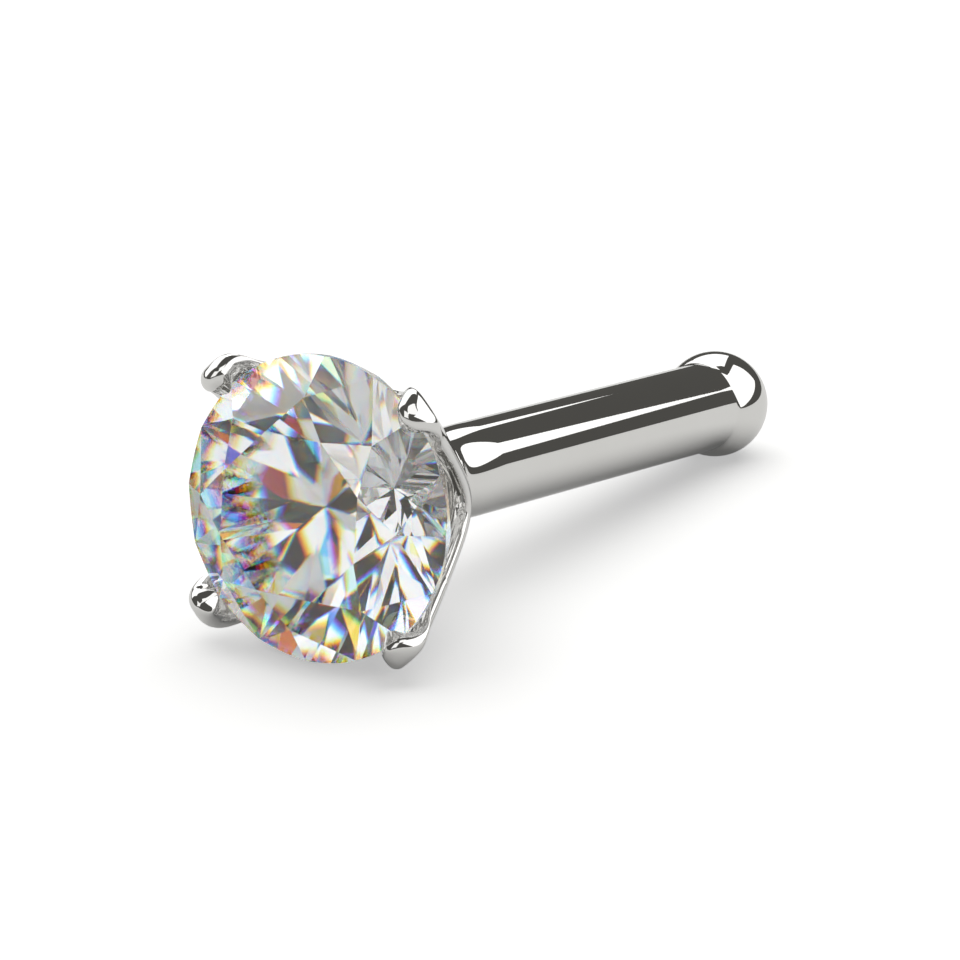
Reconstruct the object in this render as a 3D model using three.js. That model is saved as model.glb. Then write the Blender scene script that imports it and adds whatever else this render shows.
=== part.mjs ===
// A piercing stud: a round brilliant-cut stone in a scalloped four-claw cup, on a straight post with a ball
// end. Millimetres, +Z up. Each piece is drawn along +Y, with the stone's girdle plane at y = 0 and its table
// facing -Y. The whole stud is then tipped to lie on the lowest point of its head and on its ball.
import * as THREE from 'three';
import { ParametricGeometry } from 'three/addons/geometries/ParametricGeometry.js';
import { mergeGeometries, mergeVertices } from 'three/addons/utils/BufferGeometryUtils.js';

const DEGREE = Math.PI / 180;

// Stone: a round brilliant, its ratios taken of the girdle's diameter or radius as cutters give them
const STONE_DIAMETER = 2.5;
const TABLE_RATIO = 0.56;
const CROWN_ANGLE = 34.5 * DEGREE;
const PAVILION_ANGLE = 40.8 * DEGREE;
const GIRDLE_RATIO = 0.03;
const STAR_RATIO = 0.5;
const LOWER_HALF_RATIO = 0.77;
const KITE_COUNT = 8;
const STONE_TURN = 22.5 * DEGREE;
const GIRDLE_SIDES_PER_HALF = 4;

// Post and ball end
const POST_DIAMETER = 0.8;
const BALL_DIAMETER = 0.96;
const BALL_BEHIND_GIRDLE = 6.37;
const POST_FILLET_RADIUS = 0.25;

// Cup and claws: a flared wall whose edge dips between the claws, each claw bent over the girdle
const CLAW_COUNT = 4;
const CUP_HALF_ANGLE = 28.8 * DEGREE;
const CUP_RADIUS_AT_GIRDLE = 1.4;
const CUP_WALL = 0.19;
const CUP_BACK = 1.15;
const CUP_FLOOR = 1.34;
const CUP_FLOOR_FLAT_SHARE = 0.7;
const SCALLOP_DEPTH_BEHIND_GIRDLE = 0.86;
const FLARE_SHARES = [1, 0.75, 0.4, 0.08];
const CLAW_REACH_RADIUS = 1.47;
const CLAW_REACH_SHARE = 0.4;
const CLAW_FRONT_AHEAD_OF_GIRDLE = 0.28;
const CLAW_FRONT_SHARE = 0.46;
const CLAW_END_RADIUS = 1.175;
const CLAW_END_THICKNESS = 0.04;
const CLAW_TIP_HALF_ANGLE = 13.5 * DEGREE;
const CLAW_SHOULDER_SHARE = 0.46;
const EDGE_ROUNDING = 0.09;
const SEAT_GAP = 0.025;

// Layout and fineness of the meshes: each claw's tongue starts at a share of the wall's section, and the
// columns of the cup fan out to the edge past its foot
const TONGUE_SHARE = 0.45;
const EDGE_APPROACH = 0.16;
const FOOT_FAN = 0.6;
const FOOT_CLOSING = 0.6;
const FOOT_LENGTH_SHARE = 0.15;
const COLUMNS_PER_HALF_CLAW = 12;
const COLUMNS_PER_HALF_TONGUE = 6;
const CUP_ROWS = 9;
const CUP_ROW_CLOSING = 1.6;
const TONGUE_ROWS = 13;
const BALL_ROWS = 9;
const FILLET_ROWS = 4;
const EDGE_SAMPLES = 400;
const HALVING_STEPS = 40;
const TILT_STEPS = 20;

const STONE_RADIUS = STONE_DIAMETER / 2;
const GIRDLE_HALF = GIRDLE_RATIO * STONE_DIAMETER / 2;
const POST_RADIUS = POST_DIAMETER / 2;
const BALL_RADIUS = BALL_DIAMETER / 2;
const HALF_CLAW_ANGLE = Math.PI / CLAW_COUNT;

// A point at a radius and an angle round the stud's axis.
function around(radius, angle, y) {
  return new THREE.Vector3(radius * Math.cos(angle), y, radius * Math.sin(angle));
}

// Merges shared corners and drops the triangles that close up to a line at the axis.
function closed(geometry) {
  geometry.deleteAttribute('normal');
  geometry.deleteAttribute('uv');
  const merged = mergeVertices(geometry, 1e-4);
  const corners = merged.index.array;
  const kept = [];
  for (let i = 0; i < corners.length; i += 3) {
    const [a, b, c] = corners.slice(i, i + 3);
    if (a !== b && b !== c && c !== a) kept.push(a, b, c);
  }
  merged.setIndex(kept);
  merged.computeVertexNormals();
  return merged;
}

// The height on the plane through three points, above a place given by its other two coordinates.
function heightOnPlane(a, b, c, place) {
  const plane = new THREE.Plane().setFromCoplanarPoints(a, b, c);
  const { x: nx, y: ny, z: nz } = plane.normal;
  return -(plane.constant + nx * place.x + nz * place.z) / ny;
}

// The girdle's edge under one half facet: where that facet's plane cuts the round girdle.
function halfFacetEdge(peak, start, end, fromAngle, toAngle) {
  const edge = [];
  for (let k = 0; k <= GIRDLE_SIDES_PER_HALF; k += 1) {
    const angle = fromAngle + (toAngle - fromAngle) * k / GIRDLE_SIDES_PER_HALF;
    const place = around(STONE_RADIUS, angle, 0);
    place.y = heightOnPlane(peak, start, end, place);
    edge.push(place);
  }
  return edge;
}

// One side of the stone, crown or pavilion, as flat facets and its wavy edge at the girdle. The side's height
// is measured from the girdle plane along direction, -1 for the crown and +1 for the pavilion.
function stoneSide(direction, slopeAngle, flatRadius, meetRadius) {
  const step = 2 * Math.PI / KITE_COUNT;
  const slope = Math.tan(slopeAngle);
  const rise = (radius, turn) => (
    GIRDLE_HALF + slope * (STONE_RADIUS - radius * Math.cos(turn))
  );
  const at = (radius, angle, turn = 0) => (
    around(radius, angle, direction * rise(radius, turn))
  );
  const facets = [];
  const girdleEdge = [];
  const top = [];
  for (let i = 0; i < KITE_COUNT; i += 1) {
    const angle = STONE_TURN + i * step;
    const next = angle + step;
    const middle = angle + step / 2;
    const corner = at(flatRadius, angle);
    const meet = at(meetRadius, middle, step / 2);
    const meetBefore = at(meetRadius, angle - step / 2, step / 2);
    const foot = around(STONE_RADIUS, angle, direction * GIRDLE_HALF);
    const footMiddle = around(STONE_RADIUS, middle, direction * GIRDLE_HALF);
    const footNext = around(STONE_RADIUS, next, direction * GIRDLE_HALF);
    const firstEdge = halfFacetEdge(meet, foot, footMiddle, angle, middle);
    const secondEdge = halfFacetEdge(meet, footMiddle, footNext, middle, next);
    top.push(corner);
    facets.push([corner, meetBefore, foot, meet]);
    if (flatRadius > 0) facets.push([corner, meet, at(flatRadius, next)]);
    facets.push([meet, ...firstEdge], [meet, ...secondEdge]);
    girdleEdge.push(...firstEdge.slice(0, -1), ...secondEdge.slice(0, -1));
  }
  if (flatRadius > 0) facets.push(top);
  const outward = direction > 0 ? facets.map((facet) => [...facet].reverse()) : facets;
  return { facets: outward, girdleEdge };
}

// The stone: a crown with table, stars, kites and upper halves, a round girdle, and a pointed pavilion.
function stoneGeometry() {
  const tableRadius = TABLE_RATIO * STONE_RADIUS;
  const tableSide = tableRadius * Math.cos(Math.PI / KITE_COUNT);
  const starRadius = tableSide + STAR_RATIO * (STONE_RADIUS - tableSide);
  const lowerRadius = (1 - LOWER_HALF_RATIO) * STONE_RADIUS;
  const crown = stoneSide(-1, CROWN_ANGLE, tableRadius, starRadius);
  const pavilion = stoneSide(1, PAVILION_ANGLE, 0, lowerRadius);
  const girdle = crown.girdleEdge.map((upper, i, edge) => {
    const after = (i + 1) % edge.length;
    return [upper, pavilion.girdleEdge[i], pavilion.girdleEdge[after], edge[after]];
  });
  const corners = [];
  for (const facet of [...crown.facets, ...girdle, ...pavilion.facets]) {
    for (let k = 1; k + 1 < facet.length; k += 1) corners.push(facet[0], facet[k], facet[k + 1]);
  }
  return closed(new THREE.BufferGeometry().setFromPoints(corners));
}

// Sections through the middle of a claw, as (radius, y), from the cup's back to the claw's end on the crown.
const cupRadiusAt = (y) => CUP_RADIUS_AT_GIRDLE - y * Math.tan(CUP_HALF_ANGLE);
const crownSeatAt = (radius) => (
  -GIRDLE_HALF - SEAT_GAP / Math.cos(CROWN_ANGLE) - (STONE_RADIUS - radius) * Math.tan(CROWN_ANGLE)
);
const pavilionSeatAt = (radius) => (
  GIRDLE_HALF + SEAT_GAP / Math.cos(PAVILION_ANGLE) + (STONE_RADIUS - radius) * Math.tan(PAVILION_ANGLE)
);

// The outside: straight up the flare, over the shoulder and round the front to the claw's end.
function clawOutside() {
  const front = -CLAW_FRONT_AHEAD_OF_GIRDLE;
  const frontWidth = CLAW_REACH_RADIUS - CLAW_END_RADIUS;
  const flare = FLARE_SHARES.map((share) => share * CUP_BACK)
    .map((y) => new THREE.Vector2(cupRadiusAt(y), y));
  const end = new THREE.Vector2(CLAW_END_RADIUS, crownSeatAt(CLAW_END_RADIUS) - CLAW_END_THICKNESS);
  return new THREE.SplineCurve([
    ...flare,
    new THREE.Vector2(CLAW_REACH_RADIUS, CLAW_REACH_SHARE * front),
    new THREE.Vector2(CLAW_REACH_RADIUS - CLAW_FRONT_SHARE * frontWidth, front),
    end,
  ]);
}

// The inside: up the wall to the pavilion, along it to the girdle, past the girdle and in along the crown.
function clawInside() {
  const wallAcross = CUP_WALL / Math.cos(CUP_HALF_ANGLE);
  const innerRadiusAt = (y) => cupRadiusAt(y) - wallAcross;
  const flareSlope = Math.tan(CUP_HALF_ANGLE);
  const pavilionSlope = Math.tan(PAVILION_ANGLE);
  const seatY = pavilionSeatAt(innerRadiusAt(0)) / (1 - pavilionSlope * flareSlope);
  const girdleRadius = STONE_RADIUS + SEAT_GAP;
  return new THREE.Path()
    .moveTo(innerRadiusAt(CUP_BACK), CUP_BACK)
    .lineTo(innerRadiusAt(seatY), seatY)
    .lineTo(girdleRadius, pavilionSeatAt(girdleRadius))
    .lineTo(girdleRadius, crownSeatAt(girdleRadius))
    .lineTo(CLAW_END_RADIUS, crownSeatAt(CLAW_END_RADIUS));
}

const OUTSIDE = clawOutside();
const INSIDE = clawInside();
const PETAL_LENGTH = (OUTSIDE.getLength() + INSIDE.getLength()) / 2;
const VALLEY_LENGTH = (CUP_BACK - SCALLOP_DEPTH_BEHIND_GIRDLE) / Math.cos(CUP_HALF_ANGLE);
const VALLEY_SHARE = VALLEY_LENGTH / OUTSIDE.getLength();

// How far along the section the wall goes at an angle from the claw's middle: a cosine scallop and a tip.
function edgeShare(angle) {
  const scallop = 0.5 + 0.5 * Math.cos(CLAW_COUNT * angle);
  const tip = Math.exp(-((angle / CLAW_TIP_HALF_ANGLE) ** 2));
  const height = CLAW_SHOULDER_SHARE * scallop + (1 - CLAW_SHOULDER_SHARE) * tip;
  return VALLEY_SHARE + (1 - VALLEY_SHARE) * height;
}

// The angle from the claw's middle at which the wall's edge passes a share of the section.
function edgeAngle(share) {
  if (share <= VALLEY_SHARE) return HALF_CLAW_ANGLE;
  let near = 0;
  let far = HALF_CLAW_ANGLE;
  for (let k = 0; k < HALVING_STEPS; k += 1) {
    const angle = (near + far) / 2;
    if (edgeShare(angle) > share) near = angle;
    else far = angle;
  }
  return near;
}

// The middle of the wall at a share of the section.
function wallMiddle(share) {
  return OUTSIDE.getPointAt(share).add(INSIDE.getPoint(share)).multiplyScalar(0.5);
}

// The wall's edge from a claw's middle to the bottom of a scallop, with the length run so far.
function edgeSamples() {
  const samples = [];
  let run = 0;
  for (let k = 0; k <= EDGE_SAMPLES; k += 1) {
    const angle = HALF_CLAW_ANGLE * k / EDGE_SAMPLES;
    const share = edgeShare(angle);
    const radius = wallMiddle(share).x;
    if (k > 0) {
      const last = samples[k - 1];
      run += Math.hypot(radius * (angle - last.angle), PETAL_LENGTH * (share - last.share));
    }
    samples.push({ angle, share, run });
  }
  return samples;
}

const EDGE = edgeSamples();

// The angle at which the edge has run a share of its way from a tongue's foot to the bottom of a scallop.
function edgeAngleAlong(wayShare) {
  const foot = EDGE.findLast((sample) => sample.share >= TONGUE_SHARE).run;
  const run = THREE.MathUtils.lerp(foot, EDGE[EDGE_SAMPLES].run, wayShare);
  const k = EDGE.findIndex((sample) => sample.run >= run - 1e-9);
  const before = EDGE[k - 1];
  const after = EDGE[k];
  return THREE.MathUtils.mapLinear(run, before.run, after.run, before.angle, after.angle);
}

// The wall narrows to a round edge within EDGE_ROUNDING of its outline.
function wallFullness(angle, share, radius) {
  let nearest = EDGE_ROUNDING;
  for (const sample of EDGE) {
    const across = radius * (Math.abs(angle) - sample.angle);
    nearest = Math.min(nearest, Math.hypot(across, PETAL_LENGTH * (share - sample.share)));
  }
  const depth = 1 - nearest / EDGE_ROUNDING;
  return Math.sqrt(1 - depth * depth);
}

// A point of the wall on one of its faces, as (radius, y).
function wallPoint(angle, share, isOutside, isEdge) {
  const middle = wallMiddle(share);
  const face = isOutside ? OUTSIDE.getPointAt(share) : INSIDE.getPoint(share);
  return middle.lerp(face, isEdge ? 0 : wallFullness(angle, share, middle.x));
}

// The place of a column across a tongue, from -1 to 1: past the tongue's foot the columns close up towards
// the edge.
function closedUp(across, share) {
  const closing = Math.min(1, FOOT_CLOSING + (share - TONGUE_SHARE) / FOOT_LENGTH_SHARE);
  return THREE.MathUtils.lerp(across, Math.sin(across * Math.PI / 2), closing);
}

// The direction, from straight back to square to the edge, in which a column leaves the edge at an angle.
function squareTurn(angle) {
  const step = HALF_CLAW_ANGLE / EDGE_SAMPLES;
  const rise = (edgeShare(angle + step) - edgeShare(angle - step)) / (2 * step);
  return Math.atan(-PETAL_LENGTH * rise / wallMiddle(edgeShare(angle)).x);
}

// The way of one column up the cup, as (angle, share). The columns nearest the claw's middle end at the foot
// of its tongue; the others end square to the edge, closer together towards the bottom of the scallop.
function columnWay(index) {
  const base = new THREE.Vector2(HALF_CLAW_ANGLE * index / COLUMNS_PER_HALF_CLAW, 0);
  const end = new THREE.Vector2();
  const footAngle = edgeAngle(TONGUE_SHARE);
  let turn = 0;
  if (index <= COLUMNS_PER_HALF_TONGUE) {
    const across = closedUp(index / COLUMNS_PER_HALF_TONGUE, TONGUE_SHARE);
    end.set(footAngle * across, TONGUE_SHARE);
    turn = FOOT_FAN * across ** 3 * squareTurn(footAngle);
  } else {
    const past = (index - COLUMNS_PER_HALF_TONGUE) / (COLUMNS_PER_HALF_CLAW - COLUMNS_PER_HALF_TONGUE);
    const angle = edgeAngleAlong(Math.sin(Math.PI / 2 * past));
    end.set(angle, edgeShare(angle));
    turn = squareTurn(angle);
  }
  const leaving = new THREE.Vector2(
    end.x - EDGE_APPROACH * Math.sin(turn) / wallMiddle(end.y).x,
    end.y - EDGE_APPROACH * Math.cos(turn) / PETAL_LENGTH,
  );
  return new THREE.QuadraticBezierCurve(base, leaving, end);
}

// One face of the cup below the tongues, with the floor inside or the post outside: a lathe whose wall rows
// are drawn out along the columns' ways.
function cupFace(isOutside) {
  const reaches = Array.from({ length: CUP_ROWS + 1 }, (_, k) => 1 - (1 - k / CUP_ROWS) ** CUP_ROW_CLOSING);
  const rows = isOutside ? reaches.reverse() : reaches;
  const foot = isOutside ? OUTSIDE.getPoint(0) : INSIDE.getPoint(0);
  const wall = rows.map(() => foot);
  const profile = isOutside ? [...wall, ...stemProfile()] : [...floorProfile(), ...wall];
  const firstRow = isOutside ? 0 : profile.length - wall.length;
  const columns = 2 * CLAW_COUNT * COLUMNS_PER_HALF_CLAW;
  const lathe = new THREE.LatheGeometry(profile, columns);
  for (let column = 0; column <= columns; column += 1) {
    const index = column % (2 * COLUMNS_PER_HALF_CLAW) - COLUMNS_PER_HALF_CLAW;
    const clawAngle = 2 * Math.PI * (column - index) / columns;
    const way = columnWay(Math.abs(index));
    rows.forEach((reach, row) => {
      const { x: angle, y: share } = way.getPoint(reach);
      const isEdge = reach === 1 && Math.abs(index) >= COLUMNS_PER_HALF_TONGUE;
      const { x: radius, y } = wallPoint(angle, share, isOutside, isEdge);
      const turn = clawAngle + Math.sign(index) * angle;
      const vertex = column * profile.length + firstRow + row;
      lathe.attributes.position.setXYZ(vertex, radius * Math.sin(turn), y, radius * Math.cos(turn));
    });
  }
  return lathe;
}

// The rows of a tongue: closer together towards its tip, and one on each fold of the inside.
function tongueRows() {
  const rows = Array.from({ length: TONGUE_ROWS + 1 }, (_, k) => (
    TONGUE_SHARE + (1 - TONGUE_SHARE) * Math.sin(Math.PI / 2 * k / TONGUE_ROWS)
  ));
  for (const length of INSIDE.getCurveLengths().slice(0, -1)) {
    const fold = length / INSIDE.getLength();
    const offsets = rows.map((share) => Math.abs(share - fold));
    rows[offsets.indexOf(Math.min(...offsets))] = fold;
  }
  return rows;
}

// One face of a claw's tongue, from its foot to the claw's end on the crown.
function tongueFace(clawAngle, isOutside) {
  const rows = tongueRows();
  const point = (u, v, target) => {
    const share = rows[Math.round(v * TONGUE_ROWS)];
    const across = isOutside ? 2 * u - 1 : 1 - 2 * u;
    const angle = edgeAngle(share) * closedUp(across, share);
    const isEdge = share === 1 || Math.abs(across) === 1;
    const { x: radius, y } = wallPoint(angle, share, isOutside, isEdge);
    target.copy(around(radius, clawAngle + angle, y));
  };
  return new ParametricGeometry(point, 2 * COLUMNS_PER_HALF_TONGUE, TONGUE_ROWS);
}

// The cup's floor from the axis out, behind the stone's point.
function floorProfile() {
  const flatRadius = CUP_FLOOR_FLAT_SHARE * INSIDE.getPoint(0).x;
  return [
    new THREE.Vector2(0, CUP_FLOOR),
    new THREE.Vector2(flatRadius, (2 * CUP_FLOOR + CUP_BACK) / 3),
  ];
}

// The post's outline behind the cup: a fillet, the straight post and the ball, ending on the axis.
function stemProfile() {
  const flare = Math.tan(CUP_HALF_ANGLE);
  const cornerY = (CUP_RADIUS_AT_GIRDLE - POST_RADIUS) / flare;
  const tangent = POST_FILLET_RADIUS * Math.tan(CUP_HALF_ANGLE / 2);
  const centre = new THREE.Vector2(POST_RADIUS + POST_FILLET_RADIUS, cornerY + tangent);
  const profile = [];
  for (let k = 0; k <= FILLET_ROWS; k += 1) {
    const turn = CUP_HALF_ANGLE * (1 - k / FILLET_ROWS);
    const x = centre.x - POST_FILLET_RADIUS * Math.cos(turn);
    profile.push(new THREE.Vector2(x, centre.y - POST_FILLET_RADIUS * Math.sin(turn)));
  }
  const neck = Math.asin(POST_RADIUS / BALL_RADIUS);
  for (let k = 0; k <= BALL_ROWS; k += 1) {
    const turn = Math.PI - neck - (Math.PI - neck) * k / BALL_ROWS;
    const y = BALL_BEHIND_GIRDLE + BALL_RADIUS * Math.cos(turn);
    profile.push(new THREE.Vector2(k < BALL_ROWS ? BALL_RADIUS * Math.sin(turn) : 0, y));
  }
  return profile;
}

// The metal, one solid: the cup with its post and ball, and the claws' tongues.
function frameGeometry() {
  const faces = [cupFace(false), cupFace(true)];
  for (let claw = 0; claw < CLAW_COUNT; claw += 1) {
    const clawAngle = (2 * claw + 1) * HALF_CLAW_ANGLE;
    faces.push(tongueFace(clawAngle, false), tongueFace(clawAngle, true));
  }
  return closed(mergeGeometries(faces));
}

// The tip about X at which the head's lowest point and the ball touch the same level.
function restingTilt(geometries) {
  const lowestOfHead = (tilt) => {
    const corner = new THREE.Vector3();
    let lowest = Infinity;
    for (const { attributes: { position } } of geometries) {
      for (let i = 0; i < position.count; i += 1) {
        corner.fromBufferAttribute(position, i);
        const height = corner.z * Math.cos(tilt) - corner.y * Math.sin(tilt);
        if (corner.y < CUP_BACK) lowest = Math.min(lowest, height);
      }
    }
    return lowest;
  };
  let tilt = 0;
  for (let k = 0; k < TILT_STEPS; k += 1) {
    const lowestOfBall = -BALL_BEHIND_GIRDLE * Math.sin(tilt) - BALL_RADIUS;
    tilt += (lowestOfBall - lowestOfHead(tilt)) / BALL_BEHIND_GIRDLE;
  }
  return tilt;
}

function piece(name, geometry, look) {
  const mesh = new THREE.Mesh(geometry, new THREE.MeshStandardMaterial(look));
  mesh.name = name;
  return mesh;
}

const frame = piece('stud_frame', frameGeometry(), { color: 0xd8d7d3, roughness: 0.06, metalness: 1 });
const stone = piece('round_stone', stoneGeometry(), { color: 0xf6f8fa, roughness: 0, metalness: 0 });

const tipped = new THREE.Group();
tipped.add(frame, stone);
tipped.rotation.x = -restingTilt([frame.geometry, stone.geometry]);

const box = new THREE.Box3().setFromObject(tipped, true);
const centre = box.getCenter(new THREE.Vector3());
tipped.position.set(-centre.x, -centre.y, -box.min.z);

const stud = new THREE.Group();
stud.add(tipped);

export default stud;
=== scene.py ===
"""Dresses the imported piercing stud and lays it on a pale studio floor.

The stud is a brilliant-cut stone in a scalloped four-claw cup, on a straight post with a ball end.
Sizes are millimetres in the stud's own frame: the axis runs along +Y from the table to the ball, and
the stone's girdle lies at y = 0. Each finished mesh is laid down in the CAD model's frame, in metres.
"""

from __future__ import annotations

import logging
import math
from dataclasses import dataclass, field
from enum import Enum

import bmesh
import bpy
import numpy as np
from mathutils import Matrix, Vector

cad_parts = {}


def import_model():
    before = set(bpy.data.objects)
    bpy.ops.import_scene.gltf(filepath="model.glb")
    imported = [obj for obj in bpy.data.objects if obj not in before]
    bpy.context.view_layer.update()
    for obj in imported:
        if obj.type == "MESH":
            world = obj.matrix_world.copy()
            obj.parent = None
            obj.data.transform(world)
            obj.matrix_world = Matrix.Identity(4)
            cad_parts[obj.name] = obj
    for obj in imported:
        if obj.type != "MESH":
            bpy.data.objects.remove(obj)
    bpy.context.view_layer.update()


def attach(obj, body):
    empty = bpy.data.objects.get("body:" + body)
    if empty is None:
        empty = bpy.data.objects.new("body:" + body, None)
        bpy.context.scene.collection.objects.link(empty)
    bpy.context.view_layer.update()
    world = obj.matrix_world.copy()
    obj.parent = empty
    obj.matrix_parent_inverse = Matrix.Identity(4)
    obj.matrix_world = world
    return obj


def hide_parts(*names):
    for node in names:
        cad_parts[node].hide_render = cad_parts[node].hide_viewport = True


LOG = logging.getLogger("piercing_stud")
MM = 0.001
BODY = "root"
PLACE = "own_place"
GIRDLE = "girdle"
SAME_PLACE = 1e-6
Point = tuple[float, float, float]
Colour = tuple[float, float, float]


class WallFace(Enum):
    """The two faces of the cup's wall."""

    INSIDE = "inside"
    OUTSIDE = "outside"


class StoneSide(Enum):
    """The two sides of the girdle, as the way they face along the axis."""

    CROWN = -1
    PAVILION = 1


@dataclass(frozen=True)
class Lie:
    """How the stud lies: tipped about X until the stone's edge and the ball touch the floor."""

    tilt_deg: float = 6.9016
    girdle_centre: Point = (0.0, -3.1551, 1.2454)

    def matrix(self) -> Matrix:
        """Works out the move from the stud's own millimetres to the CAD model's metres.

        Returns:
            The move.
        """
        tip = Matrix.Rotation(-math.radians(self.tilt_deg), 4, "X")
        return Matrix.Scale(MM, 4) @ Matrix.Translation(self.girdle_centre) @ tip


class TurnedCopies:
    """A Geometry Nodes tree that turns copies of one sector round the stud's axis and joins them."""

    def __init__(self) -> None:
        """Builds the tree with its named inputs."""
        self.tree = bpy.data.node_groups.new("turned_copies", "GeometryNodeTree")
        sockets = self.tree.interface
        sockets.new_socket("Sector", in_out="INPUT", socket_type="NodeSocketGeometry")
        self.copies = sockets.new_socket("Copies", in_out="INPUT", socket_type="NodeSocketInt")
        self.join = sockets.new_socket("Join Distance", in_out="INPUT", socket_type="NodeSocketFloat")
        self.finish = sockets.new_socket("Finish", in_out="INPUT", socket_type="NodeSocketMaterial")
        sockets.new_socket("Whole", in_out="OUTPUT", socket_type="NodeSocketGeometry")
        self._wire()

    def _wire(self) -> None:
        """Adds the nodes: points on the axis, a sector on each, realized, joined and finished."""
        nodes, links = self.tree.nodes, self.tree.links
        given = nodes.new("NodeGroupInput")
        whole = nodes.new("NodeGroupOutput")
        points = nodes.new("GeometryNodePoints")
        index = nodes.new("GeometryNodeInputIndex")
        step = nodes.new("ShaderNodeMath")
        step.operation = "DIVIDE"
        step.inputs[0].default_value = 2.0 * math.pi
        turn = nodes.new("ShaderNodeMath")
        turn.operation = "MULTIPLY"
        spin = nodes.new("FunctionNodeAxisAngleToRotation")
        spin.inputs["Axis"].default_value = (0.0, 1.0, 0.0)
        place = nodes.new("GeometryNodeInstanceOnPoints")
        realize = nodes.new("GeometryNodeRealizeInstances")
        merge = nodes.new("GeometryNodeMergeByDistance")
        finish = nodes.new("GeometryNodeSetMaterial")
        links.new(given.outputs["Copies"], points.inputs["Count"])
        links.new(given.outputs["Copies"], step.inputs[1])
        links.new(index.outputs["Index"], turn.inputs[0])
        links.new(step.outputs[0], turn.inputs[1])
        links.new(turn.outputs[0], spin.inputs["Angle"])
        links.new(points.outputs["Points"], place.inputs["Points"])
        links.new(given.outputs["Sector"], place.inputs["Instance"])
        links.new(spin.outputs["Rotation"], place.inputs["Rotation"])
        links.new(place.outputs["Instances"], realize.inputs["Geometry"])
        links.new(realize.outputs["Geometry"], merge.inputs["Geometry"])
        links.new(given.outputs["Join Distance"], merge.inputs["Distance"])
        links.new(merge.outputs["Geometry"], finish.inputs["Geometry"])
        links.new(given.outputs["Finish"], finish.inputs["Material"])
        links.new(finish.outputs["Geometry"], whole.inputs["Whole"])

    def whole(self, name: str, sector: bpy.types.Mesh, copies: int, finish: bpy.types.Material,
              join: float = 1e-4) -> bpy.types.Object:
        """Turns copies of a sector round the axis into one plain mesh.

        Args:
            name: The finished piece's name.
            sector: The mesh of one sector, in millimetres.
            copies: How many sectors make the whole.
            finish: The piece's material.
            join: The distance within which corners are joined.

        Returns:
            The piece's object, with no modifier left on it.
        """
        piece = bpy.data.objects.new(name, sector)
        bpy.context.scene.collection.objects.link(piece)
        turned = piece.modifiers.new("turned_copies", "NODES")
        turned.node_group = self.tree
        turned[self.copies.identifier] = copies
        turned[self.join.identifier] = join
        turned[self.finish.identifier] = finish
        evaluated = piece.evaluated_get(bpy.context.evaluated_depsgraph_get())
        mesh = bpy.data.meshes.new_from_object(evaluated)
        mesh.name = name
        piece.modifiers.remove(turned)
        piece.data = mesh
        bpy.data.meshes.remove(sector)
        return piece


@dataclass
class Sector:
    """The corners and faces of one sector while it is laid out."""

    corners: list[Point] = field(default_factory=list)
    faces: list[tuple[int, ...]] = field(default_factory=list)

    def facet(self, points: list[Point]) -> None:
        """Adds one flat facet.

        Args:
            points: Its corners.
        """
        first = len(self.corners)
        self.corners.extend(tuple(map(float, point)) for point in points)
        self.faces.append(tuple(range(first, first + len(points))))

    def grid(self, rows: np.ndarray) -> None:
        """Adds a sheet of four-cornered faces.

        Args:
            rows: The sheet's points, by row and column.
        """
        first = len(self.corners)
        high, wide, _ = rows.shape
        self.corners.extend(map(tuple, rows.reshape(-1, 3).tolist()))
        for row in range(high - 1):
            for column in range(wide - 1):
                corner = first + row * wide + column
                self.faces.append((corner, corner + 1, corner + wide + 1, corner + wide))

    def mesh(self, name: str) -> bpy.types.Mesh:
        """Makes the sector a mesh.

        Args:
            name: The mesh's name.

        Returns:
            The mesh.
        """
        mesh = bpy.data.meshes.new(name)
        mesh.from_pydata(self.corners, [], self.faces)
        return mesh


def round_axis(radius: np.ndarray, angle: np.ndarray, y: np.ndarray) -> np.ndarray:
    """Returns points at radii and angles round the stud's axis."""
    return np.stack(np.broadcast_arrays(radius * np.cos(angle), y, radius * np.sin(angle)), axis=-1)


def lay_down(piece: bpy.types.Object, lie: Lie, sharp_deg: float) -> None:
    """Turns a piece's faces outwards, marks its sharp edges, notes its own places and lays it down.

    Args:
        piece: The piece, its mesh in millimetres round the stud's axis.
        lie: How the stud lies.
        sharp_deg: The angle between two faces past which their edge shades sharp.
    """
    shell = bmesh.new()
    shell.from_mesh(piece.data)
    bmesh.ops.dissolve_degenerate(shell, dist=SAME_PLACE, edges=shell.edges)
    bmesh.ops.recalc_face_normals(shell, faces=shell.faces)
    for edge in shell.edges:
        edge.smooth = edge.calc_face_angle(0.0) < math.radians(sharp_deg)
    for face in shell.faces:
        face.smooth = True
    shell.to_mesh(piece.data)
    shell.free()
    corners = np.empty(3 * len(piece.data.vertices), dtype=np.float32)
    piece.data.vertices.foreach_get("co", corners)
    place = piece.data.attributes.new(PLACE, "FLOAT_VECTOR", "POINT")
    place.data.foreach_set("vector", corners)
    piece.data.transform(lie.matrix())
    piece.data.update()


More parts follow.
